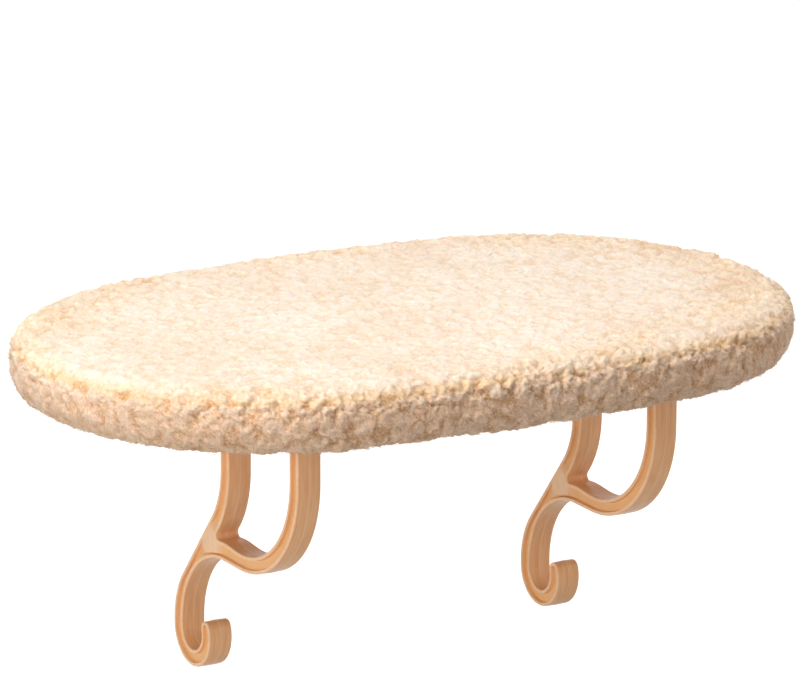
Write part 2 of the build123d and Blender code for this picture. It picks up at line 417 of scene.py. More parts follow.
def bracket_plastic():
    """Satin plastic with flow streaks, and with gloss that differs a little from place to place."""
    material, tree, shader = finish(
        "tan_plastic", 0.36, Specular_IOR_Level=0.28, Coat_Weight=0.04, Coat_Roughness=0.15,
        Subsurface_Weight=0.15, Subsurface_Scale=0.003, Subsurface_Radius=(1.0, 0.56, 0.3))
    place = place_on_piece(tree)
    flow = node(tree, "ShaderNodeMapping", {"Vector": place, "Scale": (1, 0.2, 0.08)})
    streaks = grain(flow.outputs[0], 380, 4)
    tree.links.new(bracket_tint(tree, place, streaks), shader.inputs["Base Color"])
    gloss = ramp(grain(place, 90), (0.35, grey(0.3)), (0.65, grey(0.42)))
    tree.links.new(gloss, shader.inputs["Roughness"])
    bump(shader, streaks, STREAK_DEPTH)
    return material


finish_nodes(bracket_plastic(), "bracket_left", "bracket_right")

# %% [markdown]
# ## The pad's oval
#
# Everything soft follows the same oval: two end arcs and two long shallow arcs. It could be
# squashed from a circle, but then its ends would be too pointed. Points are spread evenly along
# the true arcs, and each knows which way is outwards, so that a ring can be drawn in by any inset.

# %% The pad's oval
PAD_LENGTH, PAD_DEPTH, SIDE_BOW = 0.610, 0.394, 0.007
BOTTOM_RADIUS = 0.022
CROWN_RISE = 0.0025
CROWN_RADIUS = (PAD_LENGTH / 2) ** 2 / (2 * CROWN_RISE)


def oval_ring(inset, count):
    """Points round the oval, as x and y in metres."""
    end_radius = PAD_DEPTH / 2 - SIDE_BOW
    end_x = PAD_LENGTH / 2 - end_radius
    side_radius = ((PAD_DEPTH / 2) ** 2 + end_x**2 - end_radius**2) / (2 * SIDE_BOW)
    side_y = side_radius - PAD_DEPTH / 2
    meet = atan2(side_y, end_x)
    arcs = [
        (end_x, 0, end_radius, -meet, 2 * meet),
        (0, -side_y, side_radius, meet, pi - 2 * meet),
        (-end_x, 0, end_radius, pi - meet, 2 * meet),
        (0, side_y, side_radius, pi + meet, pi - 2 * meet),
    ]
    lengths = [radius * sweep for _, _, radius, _, sweep in arcs]
    ring = []
    for k in range(count):
        way = sum(lengths) * k / count
        for (x, y, radius, start, sweep), length in zip(arcs, lengths):
            if way <= length:
                heading = start + sweep * way / length
                reach = radius - inset
                ring.append((x + reach * cos(heading), y + pad_centre.y + reach * sin(heading)))
                break
            way -= length
    return ring


def crown(x, y):
    """How far the slightly domed top lies below its highest point."""
    return (x * x + (y - pad_centre.y) ** 2) / (2 * CROWN_RADIUS)


print("first of four points round the oval:", [round(v, 4) for v in oval_ring(0, 4)[0]])

# %% [markdown]
# ## Rings round the pad
#
# The fleece, the foam and the elastic each have one section all round the pad. Blender could bevel
# a curve with it, but that would leave out the crown of the top. So the section is a short list
# of insets and heights, and rings carry it round the oval.


# %% Rings round the pad
def arc_section(inset, height, radius, start, end, steps):
    """Points of a rounded edge, as (inset, height), between two angles from the outward side."""
    angles = [start + (end - start) * k / steps for k in range(steps + 1)]
    return [(inset - radius * cos(a), height + radius * sin(a)) for a in angles]


def even_steps(section, pitch):
    """The same section with points about a pitch apart."""
    spread = [section[0]]
    for start, end in zip(section, section[1:]):
        start, end = Vector(start), Vector(end)
        steps = max(1, round((end - start).length / pitch))
        spread += [tuple(start.lerp(end, k / steps)) for k in range(1, steps + 1)]
    return spread


def swept_rings(section, count, domed=False, closed=False):
    """Vertices and faces of a section carried round the oval, a ring for each of its points."""
    vertices, faces = [], []
    top = section[0][1]
    for inset, height in section:
        share = max(0, height - BOTTOM_RADIUS) / (top - BOTTOM_RADIUS) if domed else 0
        vertices += [(x, y, height - share * crown(x, y)) for x, y in oval_ring(inset, count)]
    rows = len(section)
    for row in range(rows if closed else rows - 1):
        near, far = row * count, (row + 1) % rows * count
        for k in range(count):
            after = (k + 1) % count
            faces.append((near + k, far + k, far + after, near + after))
    return vertices, faces


def solid_from(name, vertices, faces):
    """A mesh object whose faces all point outwards, smooth shaded."""
    mesh = bpy.data.meshes.new(name)
    mesh.from_pydata(vertices, [], faces)
    form = bmesh.new()
    form.from_mesh(mesh)
    bmesh.ops.recalc_face_normals(form, faces=form.faces)
    form.to_mesh(mesh)
    form.free()
    mesh.shade_smooth()
    made = bpy.data.objects.new(name, mesh)
    scene.collection.objects.link(made)
    return made


print("two rings of eight points:", len(swept_rings([(0, 0), (0, 1)], 8)[1]), "faces")

# %% [markdown]
# ## The flat top of a sheet
#
# Rings would crowd together in the middle of the top and show as a star. So the rings stop where
# the top is flat, and an even scatter of points fills it, in rows that are half a step apart.
# Blender's own triangulation joins the points to each other and to the last ring.

# %% The flat top of a sheet
INSIDE_THE_RING, SAME_PLACE = 1, 1e-7


def inner_points(inset, pitch):
    """Even scatter inside a drawn-in oval."""
    edge = np.array(oval_ring(inset, 400))
    angles = np.arctan2(edge[:, 1] - pad_centre.y, edge[:, 0])
    order = np.argsort(angles)
    reach = np.hypot(edge[:, 0], edge[:, 1] - pad_centre.y)
    row_pitch = pitch * sqrt(3) / 2
    rows = np.arange(-PAD_DEPTH / 2, PAD_DEPTH / 2, row_pitch)
    columns = np.arange(-PAD_LENGTH / 2, PAD_LENGTH / 2, pitch)
    x, y = np.meshgrid(columns, rows)
    x = x + (np.arange(len(rows)) % 2)[:, None] * pitch / 2
    x, y = x.ravel(), y.ravel()
    limit = np.interp(np.arctan2(y, x), angles[order], reach[order], period=2 * pi)
    keep = np.hypot(x, y) < limit - 0.7 * pitch
    return list(zip(x[keep], y[keep] + pad_centre.y))


def sheet_over_pad(section, count, pitch, domed=True):
    """Vertices and faces of a sheet from the middle of the top out along a section. The section
    starts at the edge of the flat top."""
    vertices, faces = swept_rings(section, count, domed)
    inset, top = section[0]
    rim = [(x, y) for x, y, _ in vertices[:count]]
    loop = [(k, (k + 1) % count) for k in range(count)]
    flat = [Vector(p) for p in rim + inner_points(inset, pitch)]
    points, _, triangles, origins, _, _ = delaunay_2d_cdt(
        flat, loop, [], INSIDE_THE_RING, SAME_PLACE)
    lookup = []
    for point, origin in zip(points, origins):
        first = origin[0] if origin else count
        if first < count:
            lookup.append(first)
        else:
            lookup.append(len(vertices))
            drop = crown(point.x, point.y) if domed else 0
            vertices.append((point.x, point.y, top - drop))
    faces += [tuple(lookup[i] for i in triangle) for triangle in triangles]
    return vertices, faces


print("scatter with a pitch of 20 mm:", len(inner_points(0, 0.02)), "points")

# %% [markdown]
# ## The section of the fleece
#
# The cover is one piece of fleece: pile outside, a plain knitted back inside. It wraps round the
# pad's edges and turns in under the board, where its hem ends in a fold. A single sheet would
# look right from above, but its back shows when the cover is pulled off, so it has both faces.

# %% Section of the fleece
SIDE_TOP, TOP_RADIUS = 0.030, 0.020
BOTTOM_SWEEP = radians(77.75)
SILL_GAP = 0.0005
FLEECE = 0.0087
HEM_INSET, HEM_TOP, FOLD_RADIUS = 0.024, 0.0054, 0.00245
BOARD_EDGE = 0.004


def pile_section(pitch):
    """From the flat top over the edge, down the side and in under the board to the hem's fold."""
    section = arc_section(TOP_RADIUS, SIDE_TOP, TOP_RADIUS, pi / 2, 0, steps=16)
    section += arc_section(
        BOTTOM_RADIUS, BOTTOM_RADIUS, BOTTOM_RADIUS, 0, -BOTTOM_SWEEP, steps=15)
    fold_inset, fold_height = HEM_INSET - FOLD_RADIUS, SILL_GAP + FOLD_RADIUS
    fold = arc_section(fold_inset, fold_height, -FOLD_RADIUS, pi / 2, -pi / 2, steps=6)
    return even_steps(section + fold, pitch)


def back_section(pitch):
    """The knitted back, from the foam's flat top down to the fold under the board."""
    corner = FLEECE + BOARD_EDGE
    section = arc_section(TOP_RADIUS, SIDE_TOP, TOP_RADIUS - FLEECE, pi / 2, 0, steps=8)
    section += arc_section(corner, HEM_TOP + BOARD_EDGE, BOARD_EDGE, 0, -pi / 2, steps=5)
    section += [(HEM_INSET - FOLD_RADIUS, HEM_TOP)]
    return even_steps(section, pitch)


print("section of the fleece:", len(pile_section(0.005)), "points at a pitch of 5 mm")

# %% [markdown]
# ## The skin of the fleece
#
# The outside needs fine faces, because the pile is shaped from them. The back is smooth and has
# few. The sheets meet at the fold, where each point of the back joins several of the outside, and
# that makes one closed skin. An attribute named pile marks the outside, up to a few rows before
# the fold, where the stitches press the hem flat.

# %% Skin of the fleece
FINE_PITCH = 0.00125
FINE_COUNT = 1330
FINE_PER_COARSE = 7
FOLD_ROWS = 7


def fleece_skin(fine_pitch, fine_count, share):
    """The closed skin, and a pile value for each of its points, which is 1 on the outside. One
    point of the back stands for as many of the outside as share says."""
    outer = pile_section(fine_pitch)
    inner = back_section(3 * fine_pitch)
    coarse_count = fine_count // share
    vertices, faces = sheet_over_pad(outer, fine_count, fine_pitch)
    back_vertices, back_faces = sheet_over_pad(inner, coarse_count, 4 * fine_pitch, domed=False)
    shift = len(vertices)
    pile = [1.0] * shift + [0.0] * len(back_vertices)
    fold_start = (len(outer) - FOLD_ROWS) * fine_count
    pile[fold_start : len(outer) * fine_count] = [0.0] * (FOLD_ROWS * fine_count)
    last, back_last = (len(outer) - 1) * fine_count, shift + (len(inner) - 1) * coarse_count
    for k in range(fine_count):
        after, near = (k + 1) % fine_count, back_last + k // share
        faces.append((last + k, last + after, near))
        if after % share == 0:
            faces.append((last + after, back_last + (k // share + 1) % coarse_count, near))
    faces += [tuple(reversed([i + shift for i in face])) for face in back_faces]
    return vertices + back_vertices, faces, pile


vertices, faces, pile = fleece_skin(FINE_PITCH, FINE_COUNT, FINE_PER_COARSE)
fleece = solid_from("fleece_pile", vertices, faces)
fleece.data.attributes.new("pile", "FLOAT", "POINT").data.foreach_set("value", pile)
print("fleece skin:", len(fleece.data.vertices), "points")

# %% [markdown]
# ## Geometry Nodes helpers
#
# Pile, stitches, pits and tape repeat one small thing many times. Python could do that too, but
# Geometry Nodes is quicker and has the sizes as named inputs. A modifier runs the tree, with each
# input set by its socket's identifier. The result is taken off as a plain mesh.


# %% Geometry Nodes helpers
def new_tree(name, **sizes):
    """A tree with a geometry input and output, and one number input for each named size."""
    tree = bpy.data.node_groups.new(name, "GeometryNodeTree")
    tree.interface.new_socket("Geometry", in_out="OUTPUT", socket_type="NodeSocketGeometry")
    tree.interface.new_socket("Geometry", in_out="INPUT", socket_type="NodeSocketGeometry")
    for size in sizes:
        tree.interface.new_socket(size, in_out="INPUT", socket_type="NodeSocketFloat")
    tree["sizes"] = sizes
    return tree, tree.nodes.new("NodeGroupInput").outputs


def grown(piece, tree, result):
    """Runs the tree on a piece and puts the plain result in the piece's mesh."""
    node(tree, "NodeGroupOutput", {0: result})
    modifier = piece.modifiers.new("grow", "NODES")
    modifier.node_group = tree
    for item in tree.interface.items_tree:
        if item.in_out == "INPUT" and item.name in tree["sizes"]:
            modifier[item.identifier] = float(tree["sizes"][item.name])
    graph = bpy.context.evaluated_depsgraph_get()
    made = bpy.data.meshes.new_from_object(piece.evaluated_get(graph))
    if made.materials[0] is None:
        made.materials.pop(index=0)
    piece.modifiers.clear()
    piece.data = made
    print(tree.name, "made", len(made.polygons), "faces")
    return piece


def vector_math(operation, first, second=None, scale=None):
    """The vector result of a Vector Math node."""
    inputs = {0: first}
    if second is not None:
        inputs[1] = second
    if scale is not None:
        inputs["Scale"] = scale
    return node(first.id_data, "ShaderNodeVectorMath", inputs, operation=operation).outputs[0]


def dressed(shape, material):
    """The shape with a material on every face."""
    inputs = {0: shape, "Material": material}
    return node(shape.id_data, "GeometryNodeSetMaterial", inputs).outputs[0]


print("trees so far:", len(bpy.data.node_groups))

# %% [markdown]
# ## One curl of yarn
#
# The pile is crimped yarn. Hair strands could stand for it, but the exported model has no hair,
# only faces. So a curl is a thin tube along part of a helix, which narrows to its tip. It has
# just a few dozen faces, because there will be thousands of curls.

# %% One curl of yarn
CURLS = ((0.7, 0.0014, 0.0016), (0.5, 0.0021, 0.0012), (0.9, 0.0011, 0.0021))


def tube(path, sides, radius):
    """A capped tube along a path. Its radius may change on the way."""
    tree = path.id_data
    ring = node(tree, "GeometryNodeCurvePrimitiveCircle", {"Resolution": sides, "Radius": 1.0})
    inputs = {"Curve": path, "Profile Curve": ring.outputs[0], "Scale": radius, "Fill Caps": True}
    return node(tree, "GeometryNodeCurveToMesh", inputs).outputs[0]


def kept(shape, name, value):
    """Keeps a value on each point of a shape, under a name that a material can read."""
    inputs = {"Geometry": shape, "Name": name, "Value": value}
    options = {"data_type": "FLOAT", "domain": "POINT"}
    return node(shape.id_data, "GeometryNodeStoreNamedAttribute", inputs, **options).outputs[0]


def curl_shape(tree, turns, radius, height, yarn):
    """A short helix that narrows to its tip, with its root at the origin."""
    spiral = node(tree, "GeometryNodeCurveSpiral", {
        "Resolution": 8, "Rotations": turns, "Start Radius": radius, "End Radius": 0.6 * radius,
        "Height": height})
    along = node(tree, "GeometryNodeSplineParameter").outputs["Factor"]
    # The pile value rises from root to tip, so the material paints shade at the root of each curl.
    path = kept(spiral.outputs[0], "pile", plus(times(along, 0.4), 0.6))
    return tube(path, 3, times(minus(1.2, along), yarn))


print("shapes of curl:", len(CURLS))

# %% [markdown]
# ## The colours of the fleece
#
# The yarn is cream at its tips. Between the clumps, where light hardly reaches, the material paints
# shade in tan, because shadows alone would leave the gaps grey. It reads from two attributes how
# high the pile stands and how far round the side it lies. The sides get painted shade, deeper in
# colour, and the rolled upper edge gets painted warm shade, golden in patches. The knitted back,
# where the pile value is 0, has ribs of its own.

# %% Fleece material
# Painted shade for the sides, and painted warm shade for the rolled upper edge.
SIDE_SHADE_TINT, ROLL_SHADE_TINT = (0.9, 0.82, 0.75), (0.95, 0.86, 0.66)
ROLL_MIDDLE, ROLL_WIDTH = 0.4, 0.34


def stored(tree, name):
    return node(tree, "ShaderNodeAttribute", attribute_name=name).outputs["Fac"]


def fleece_shade(pile, side):
    """From the knitted back through the gaps, in painted shade that is deeper on the sides, and the
    yarn to its tips.
    """
    knit, middle, tip = colour(238, 222, 200), colour(250, 231, 214), colour(254, 243, 234)
    top_gap_shade, side_gap_shade = colour(244, 217, 188), colour(222, 182, 134)
    # Painted shade: the low places between the clumps are tan, deeper tan on the sides.
    on_top = ramp(pile, (0.1, knit), (0.24, top_gap_shade), (0.5, middle), (0.85, tip))
    on_side = ramp(pile, (0.1, knit), (0.24, side_gap_shade), (0.55, middle), (0.85, tip))
    return mixed(times(side, 2.0, clamp=True), on_top, on_side)


def on_roll(side, place):
    """How much painted warm shade a place gets: most along the rolled upper edge, and in patches.
    """
    off_roll = absolute(minus(side, ROLL_MIDDLE))
    near = minus(1.0, over(off_roll, ROLL_WIDTH), clamp=True)
    return times(near, times(grain(place, 30, 2), 1.6), clamp=True)


def fleece_material():
    """Soft matt fleece. Four tints are multiplied over its colour, each in its own share: patches,
    flecks, painted shade on the sides and painted warm shade on the rolled edge.
    """
    material, tree, shader = finish(
        "curly_fleece", 1.0, Specular_IOR_Level=0.1, Subsurface_Weight=0.6,
        Subsurface_Scale=0.0024, Subsurface_Radius=(1.0, 0.74, 0.52))
    place = place_on_piece(tree)
    pile, side = stored(tree, "pile"), stored(tree, "side")
    shade = fleece_shade(pile, side)
    patch = ramp(grain(place, 14, 2), (0.35, (0.93, 0.9, 0.86)), (0.65, WHITE))
    fleck = ramp(grain(place, 850, 2), (0.38, (0.86, 0.8, 0.72)), (0.6, WHITE))
    fleck_share = plus(0.15, times(side, 0.85))
    roll_shade = on_roll(side, place)
    # Painted shade on the sides and the rolled edge is multiplied in with the patches and flecks.
    for share, tint in ((1.0, patch), (fleck_share, fleck), (side, SIDE_SHADE_TINT), (roll_shade, ROLL_SHADE_TINT)):
        shade = mixed(share, shade, tint, "MULTIPLY")
    tree.links.new(shade, shader.inputs["Base Color"])
    ribs = node(tree, "ShaderNodeTexWave", {"Vector": place, "Scale": 260.0, "Distortion": 1.5})
    on_back = math("LESS_THAN", pile, 0.12)
    height = node(tree, "ShaderNodeMix", {
        0: on_back, 2: grain(place, 700), 3: ribs.outputs["Fac"]})
    bump(shader, height.outputs[0], 0.0005)
    return material


fleece_finish = fleece_material()
print("fleece material:", fleece_finish.name)

# %% [markdown]
# ## Where the pile stands up
#
# A real cover isn't fluffy all over. On top the pile is worn down, except in patches near the
# rim. It stands up most on the rolled edge, and it is pressed flat where the pad lies on the
# sill. Painted masks could say so, but they need a flat layout. The place of a point, and the way
# that the skin looks there, give the same in a few sums.

# %% Where the pile stands up
RIM_START, RIM_FADE = 0.4, 0.45
SILL_START, SILL_FADE = -0.055, 0.02
UNDERSIDE = -0.72
SIDE_PILE, WORN_TOP = 0.5, 0.26
EDGE_PILE, EDGE_WIDTH = 0.42, 0.5


def slow_noise(place, scale):
    """Smooth noise for what differs from place to place, in cycles a metre."""
    return grain(place, scale, detail=1.0, roughness=0.5)


def fuller_near_rim(place, facing):
    """1 in patches of fuller pile on the top, towards the rim, and 0 elsewhere."""
    x, y, _ = parts(place)
    squares = []
    for way, half in ((x, PAD_LENGTH / 2), (minus(y, pad_centre.y), PAD_DEPTH / 2)):
        squares.append(math("POWER", absolute(over(way, half)), 2.0))
    near_rim = over(minus(plus(*squares), RIM_START), RIM_FADE, clamp=True)
    patches = times(minus(slow_noise(place, 11.0), 0.36), 4.0, clamp=True)
    on_top = math("GREATER_THAN", facing, 0.0)
    return times(times(patches, near_rim), on_top)


def over_sill(place, facing):
    """How far a place is on the underside, and how far it is over the sill, from 0 to 1."""
    below = times(minus(UNDERSIDE, facing), 5.0, clamp=True)
    y = parts(place)[1]
    return below, over(minus(y, SILL_START), SILL_FADE, clamp=True)


def standing(sizes, facing, full, flattened):
    """How much of its height the pile keeps."""
    off_edge = over(minus(facing, sizes["edge_facing"]), EDGE_WIDTH)
    on_edge = minus(1.0, times(off_edge, off_edge), clamp=True)
    share = minus(SIDE_PILE, times(math("MAXIMUM", facing, 0.0), WORN_TOP))
    share = plus(share, times(on_edge, EDGE_PILE))
    share = plus(share, times(full, sizes["rim_fullness"]))
    return times(share, minus(1.0, flattened))


print("the pile is pressed from y =", SILL_START, "m to the rear")

# %% [markdown]
# ## Lumps and strands
#
# Brushed yarn draws together into small soft clumps, with strands running over them. Clumps could
# be sculpted, but there are thousands. Cells of a pattern that swirls are about as irregular as
# the real ones. Each becomes a lump. The strands lie where a noise crosses its middle level.

# %% Lumps and strands
LUMP_WIDTH = 0.0092


def lumps_and_strands(tree, sizes, place):
    """How high a place is on its lump, and on its strand, from 0 to 1."""
    noise = node(tree, "ShaderNodeTexNoise", {"Vector": place, "Scale": 110.0, "Detail": 2.0})
    swirl = vector_math("SUBTRACT", noise.outputs["Color"], grey(0.5))
    swirl = vector_math("SCALE", swirl, scale=sizes["swirl"])
    swirled = vector_math("ADD", place, swirl)
    cells = node(tree, "ShaderNodeTexVoronoi", {
        "Vector": swirled, "Scale": over(1.0, sizes["lump_width"]), "Smoothness": 0.3},
        feature="SMOOTH_F1").outputs["Distance"]
    lump = minus(1.05, times(math("POWER", cells, 1.5), 1.6), clamp=True)
    wool = node(tree, "ShaderNodeTexNoise", {
        "Vector": swirled, "Scale": over(0.7, sizes["strand_width"]), "Detail": 1.0,
        "Distortion": 2.2}).outputs["Fac"]
    off_level = absolute(minus(times(wool, 6.0), 3.0))
    return lump, minus(1.0, off_level, clamp=True)


def relief(sizes, place, lump, strand):
    """The height of lumps and strands over the skin. Some lumps are fuller than others."""
    fullness = plus(0.35, times(slow_noise(place, 60.0), 1.3))
    lumps = times(minus(lump, 0.6), fullness)
    strands = times(minus(strand, 0.4), sizes["strand_height"])
    return plus(times(lumps, sizes["lump_height"]), strands)


def slack(sizes, place, side, flattened):
    """Gentle waves in the sides, where the cloth hangs loose."""
    wave = minus(slow_noise(place, 42.0), 0.5)
    wave = times(wave, times(side, sizes["sag"]))
    return times(times(wave, 2.0), minus(1.0, flattened))


print("a lump is about", round(1000 * LUMP_WIDTH), "mm wide")

# %% [markdown]
# ## Curls on the skin
#
# Curls in rows would show. So they are planted at random, with a least distance between them, and
# fewer on the flat top. Every curl leans and turns its own way. The seeds are fixed, so that each
# run gives the same pile.

# %% Curls on the skin
MOST_CURLS = 250000.0
SMALL_CURL, LARGE_CURL = 0.75, 1.3
LEAN, FULL_TURN = 0.7, 6.283


def chance(tree, low, high, seed):
    """A random number, or a random vector, for each point."""
    if isinstance(low, tuple):
        first, kind, result = 0, "FLOAT_VECTOR", 0
    else:
        first, kind, result = 2, "FLOAT", 1
    inputs = {first: low, first + 1: high, "Seed": seed}
    return node(tree, "FunctionNodeRandomValue", inputs, data_type=kind).outputs[result]


def joined(*shapes):
    """Several shapes as one."""
    tree = shapes[0].id_data
    made = node(tree, "GeometryNodeJoinGeometry")
    for shape in shapes:
        tree.links.new(shape, made.inputs[0])
    return made.outputs[0]


def faceted(shape):
    """Flat shaded, because smooth shading turns dark on a tube with three or four sides."""
    inputs = {0: shape, "Shade Smooth": False}
    return node(shape.id_data, "GeometryNodeSetShadeSmooth", inputs).outputs[0]


def planted(points, shape, rotation, size=(1, 1, 1), pick=False):
    """A copy of the shape at each point, or one of several shapes, as real faces."""
    tree = points.id_data
    copies = node(tree, "GeometryNodeInstanceOnPoints", {
        "Points": points, "Instance": shape, "Pick Instance": pick, "Rotation": rotation,
        "Scale": size})
    return node(tree, "GeometryNodeRealizeInstances", {0: copies.outputs[0]}).outputs[0]


def curls_on(tree, sizes, skin, where, facing):
    """Curls of every shape, scattered over the skin."""
    fewer_on_top = times(minus(1.02, facing), 2.5, clamp=True)
    spots = node(tree, "GeometryNodeDistributePointsOnFaces", {
        "Mesh": skin, "Selection": where, "Distance Min": sizes["fibre_gap"],
        "Density Max": MOST_CURLS, "Density Factor": fewer_on_top, "Seed": 4},
        distribute_method="POISSON")
    shapes = []
    for turns, radius, height in CURLS:
        curl = faceted(curl_shape(tree, turns, radius, height, sizes["fibre_radius"]))
        shapes.append(node(tree, "GeometryNodeGeometryToInstance", {0: curl}).outputs[0])
    lean = chance(tree, (-LEAN, -LEAN, 0.0), (LEAN, LEAN, FULL_TURN), seed=7)
    turned = node(tree, "FunctionNodeRotateRotation", {
        0: spots.outputs["Rotation"], 1: lean}, rotation_space="LOCAL").outputs[0]
    size = times(chance(tree, SMALL_CURL, LARGE_CURL, seed=9), sizes["fibre_size"])
    return planted(spots.outputs[0], joined(*shapes), turned, size, pick=True)


print("curls a square metre, at most:", int(MOST_CURLS))

# %% [markdown]
# ## The pile
#
# One tree marks the sides, lifts the skin into lumps, marks how high each place stands, and
# plants the curls. A cloth simulation could shape the cover, but it is taut on its foam, so the
# rings already have its form.

# %% Pile on the skin
PRESSED_BELOW, PRESSED_BY_SILL = 0.1, 0.86
RIM_SHADE = 0.22


def pile_tree():
    """Lumps the outside, then plants curls on it."""
    tree, sizes = new_tree(
        "curly_pile", lump_width=LUMP_WIDTH, lump_height=0.0041, strand_width=0.003,
        strand_height=0.0015, sag=0.0022, swirl=0.018, rim_fullness=0.3, edge_facing=0.62,
        fibre_gap=0.0023, fibre_size=1.0, fibre_radius=0.00016)
    outside = node(
        tree, "GeometryNodeInputNamedAttribute", {"Name": "pile"}, data_type="FLOAT").outputs[0]
    place = node(tree, "GeometryNodeInputPosition").outputs[0]
    normal = node(tree, "GeometryNodeInputNormal").outputs[0]
    facing = parts(normal)[2]
    side = minus(1.12, times(facing, 1.2), clamp=True)
    full = fuller_near_rim(place, facing)
    below, on_sill = over_sill(place, facing)
    pressing = plus(PRESSED_BELOW, times(on_sill, PRESSED_BY_SILL))
    flattened = times(below, pressing)
    lump, strand = lumps_and_strands(tree, sizes, place)
    lift = relief(sizes, place, lump, strand)
    lift = times(lift, standing(sizes, facing, full, flattened))
    lift = plus(lift, slack(sizes, place, side, flattened))
    offset = vector_math("SCALE", normal, scale=times(lift, outside))
    # The side value stored here sets painted shade on the sides and in patches near the rim, and
    # more flecks there.
    side_and_rim_shade = times(math("MAXIMUM", side, times(full, RIM_SHADE)), outside)
    marked = kept(sizes["Geometry"], "side", side_and_rim_shade)
    raised = node(tree, "GeometryNodeSetPosition", {"Geometry": marked, "Offset": offset})
    skin = node(tree, "GeometryNodeSetShadeSmooth", {0: raised.outputs[0]}).outputs[0]
    # How high a place stands on its lump and strand. The material paints shade where it is low.
    rise = plus(plus(times(lump, 0.5), times(strand, 0.3)), 0.2)
    pile = kept(skin, "pile", times(rise, outside))
    clear = math("LESS_THAN", times(on_sill, below), 0.1)
    where = times(math("GREATER_THAN", outside, 0.5), clear)
    curls = curls_on(tree, sizes, skin, where, facing)
    return tree, dressed(joined(curls, pile), fleece_finish)


grown(fleece, *pile_tree())
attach(fleece, "cover")
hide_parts("fleece_cover", "cover_hem")
print("fleece with its pile:", len(fleece.data.polygons), "faces")

# %% [markdown]
# ## Stitches round the hem
#
# A row of stitches closes the hem round its elastic, under the board. A line in the material
# would do from far off, but stitches stand proud of the cloth. A stitch is a short bent tube, and
# Geometry Nodes sets one every few millimetres along a ring.

# %% Hem stitches
STITCH_INSET, STITCH_HEIGHT, RING_POINTS = 0.0227, 0.00062, 800
STITCH_BELLY = (0.0, 0.0, -0.0002)


def ring_mesh(name, inset, height, count):
    """A closed ring of edges round the pad."""
    mesh = bpy.data.meshes.new(name)
    corners = [(x, y, height) for x, y in oval_ring(inset, count)]
    mesh.from_pydata(corners, [(k, (k + 1) % count) for k in range(count)], [])
    made = bpy.data.objects.new(name, mesh)
    scene.collection.objects.link(made)
    return made


def thread_material():
    """Twisted tan thread with a slight sheen."""
    material, tree, shader = finish("sewing_thread", 0.55, Sheen_Weight=0.3)
    grained(shader, 2500, colour(178, 134, 88), colour(206, 164, 116))
    bump(shader, grain(place_on_piece(tree), 4000), 0.00005)
    return material


def bent_line(tree, start, middle, end, steps):
    """A short curve, bent towards its middle point."""
    inputs = {"Resolution": steps, "Start": start, "Middle": middle, "End": end}
    return node(tree, "GeometryNodeCurveQuadraticBezier", inputs).outputs[0]


def stitch_tree():
    """A stitch at each pitch along a ring, turned to run with it."""
    tree, sizes = new_tree(
        "stitches", stitch_pitch=0.0042, thread_radius=0.00032, stitch_length=0.0031)
    line = node(tree, "GeometryNodeMeshToCurve", {0: sizes["Geometry"]})
    spots = node(tree, "GeometryNodeCurveToPoints", {
        "Curve": line.outputs[0], "Length": sizes["stitch_pitch"]}, mode="LENGTH").outputs
    half = times(sizes["stitch_length"], 0.5)
    start = node(tree, "ShaderNodeCombineXYZ", {0: times(half, -1.0)}).outputs[0]
    end = node(tree, "ShaderNodeCombineXYZ", {0: half}).outputs[0]
    path = bent_line(tree, start, STITCH_BELLY, end, steps=5)
    stitch = tube(path, 5, sizes["thread_radius"])
    along = node(tree, "FunctionNodeAlignEulerToVector", {
        "Vector": spots["Tangent"]}, axis="X", pivot_axis="Z").outputs[0]
    return tree, dressed(planted(spots[0], stitch, along), thread_material())


hem_ring = ring_mesh("hem_stitches", STITCH_INSET, STITCH_HEIGHT, RING_POINTS)
stitches = grown(hem_ring, *stitch_tree())
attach(stitches, "cover")
print("hem stitches:", len(stitches.data.polygons), "faces")

# %% [markdown]
# ## Elastic in the casing
#
# A flat ribbed elastic runs round inside the hem. Its ribs run lengthwise, so they are part of
# its section, and rings carry them round the oval. A pattern in the material would be lighter,
# but the ribs would then be missing from the exported shape.

# %% Elastic
RIB_DEPTH, STEPS_A_RIB = 0.00012, 6


def swept_band(name, inset_from, inset_to, low, high, ribs, count):
    """A closed flat band round the pad, with lengthwise ribs on both faces."""
    across = STEPS_A_RIB * ribs
    section = []
    for k in range(across + 1):
        inset = inset_from + (inset_to - inset_from) * k / across
        section.append((inset, high - RIB_DEPTH * (1 - abs(sin(pi * ribs * k / across)))))
    section += [(inset, low + high - height) for inset, height in reversed(section)]
    return solid_from(name, *swept_rings(section, count, closed=True))


def elastic_material():
    """Off-white woven elastic."""
    material, tree, shader = finish("ribbed_elastic", 0.7, Sheen_Weight=0.2)
    grained(shader, 1200, colour(222, 216, 206), colour(245, 242, 236))
    bump(shader, grain(place_on_piece(tree), 2500), 0.0001)
    return material


elastic = swept_band(
    "casing_elastic", inset_from=0.0157, inset_to=0.0217, low=0.0026, high=0.0036, ribs=5,
    count=420)
elastic.data.materials.append(elastic_material())
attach(elastic, "cover")
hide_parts("hem_elastic")
print("elastic:", len(elastic.data.polygons), "faces")

# %% [markdown]
# ## The foam
#
# The foam lies on the board inside the cover, and shows when the cover is pulled off. It is cut
# from a block, and the cut opens its cells. Bump alone would leave its outline smooth, so
# Geometry Nodes presses small pits into an evenly scattered sheet, and the material has finer
# ones. The flat underside stays smooth, because it lies on the board.

# %% Foam
FOAM_RADIUS, FOAM_INSET, FOAM_BOTTOM = 0.011, 0.009, 0.018
FOAM_PITCH = 0.0024
FOAM_COUNT = 690


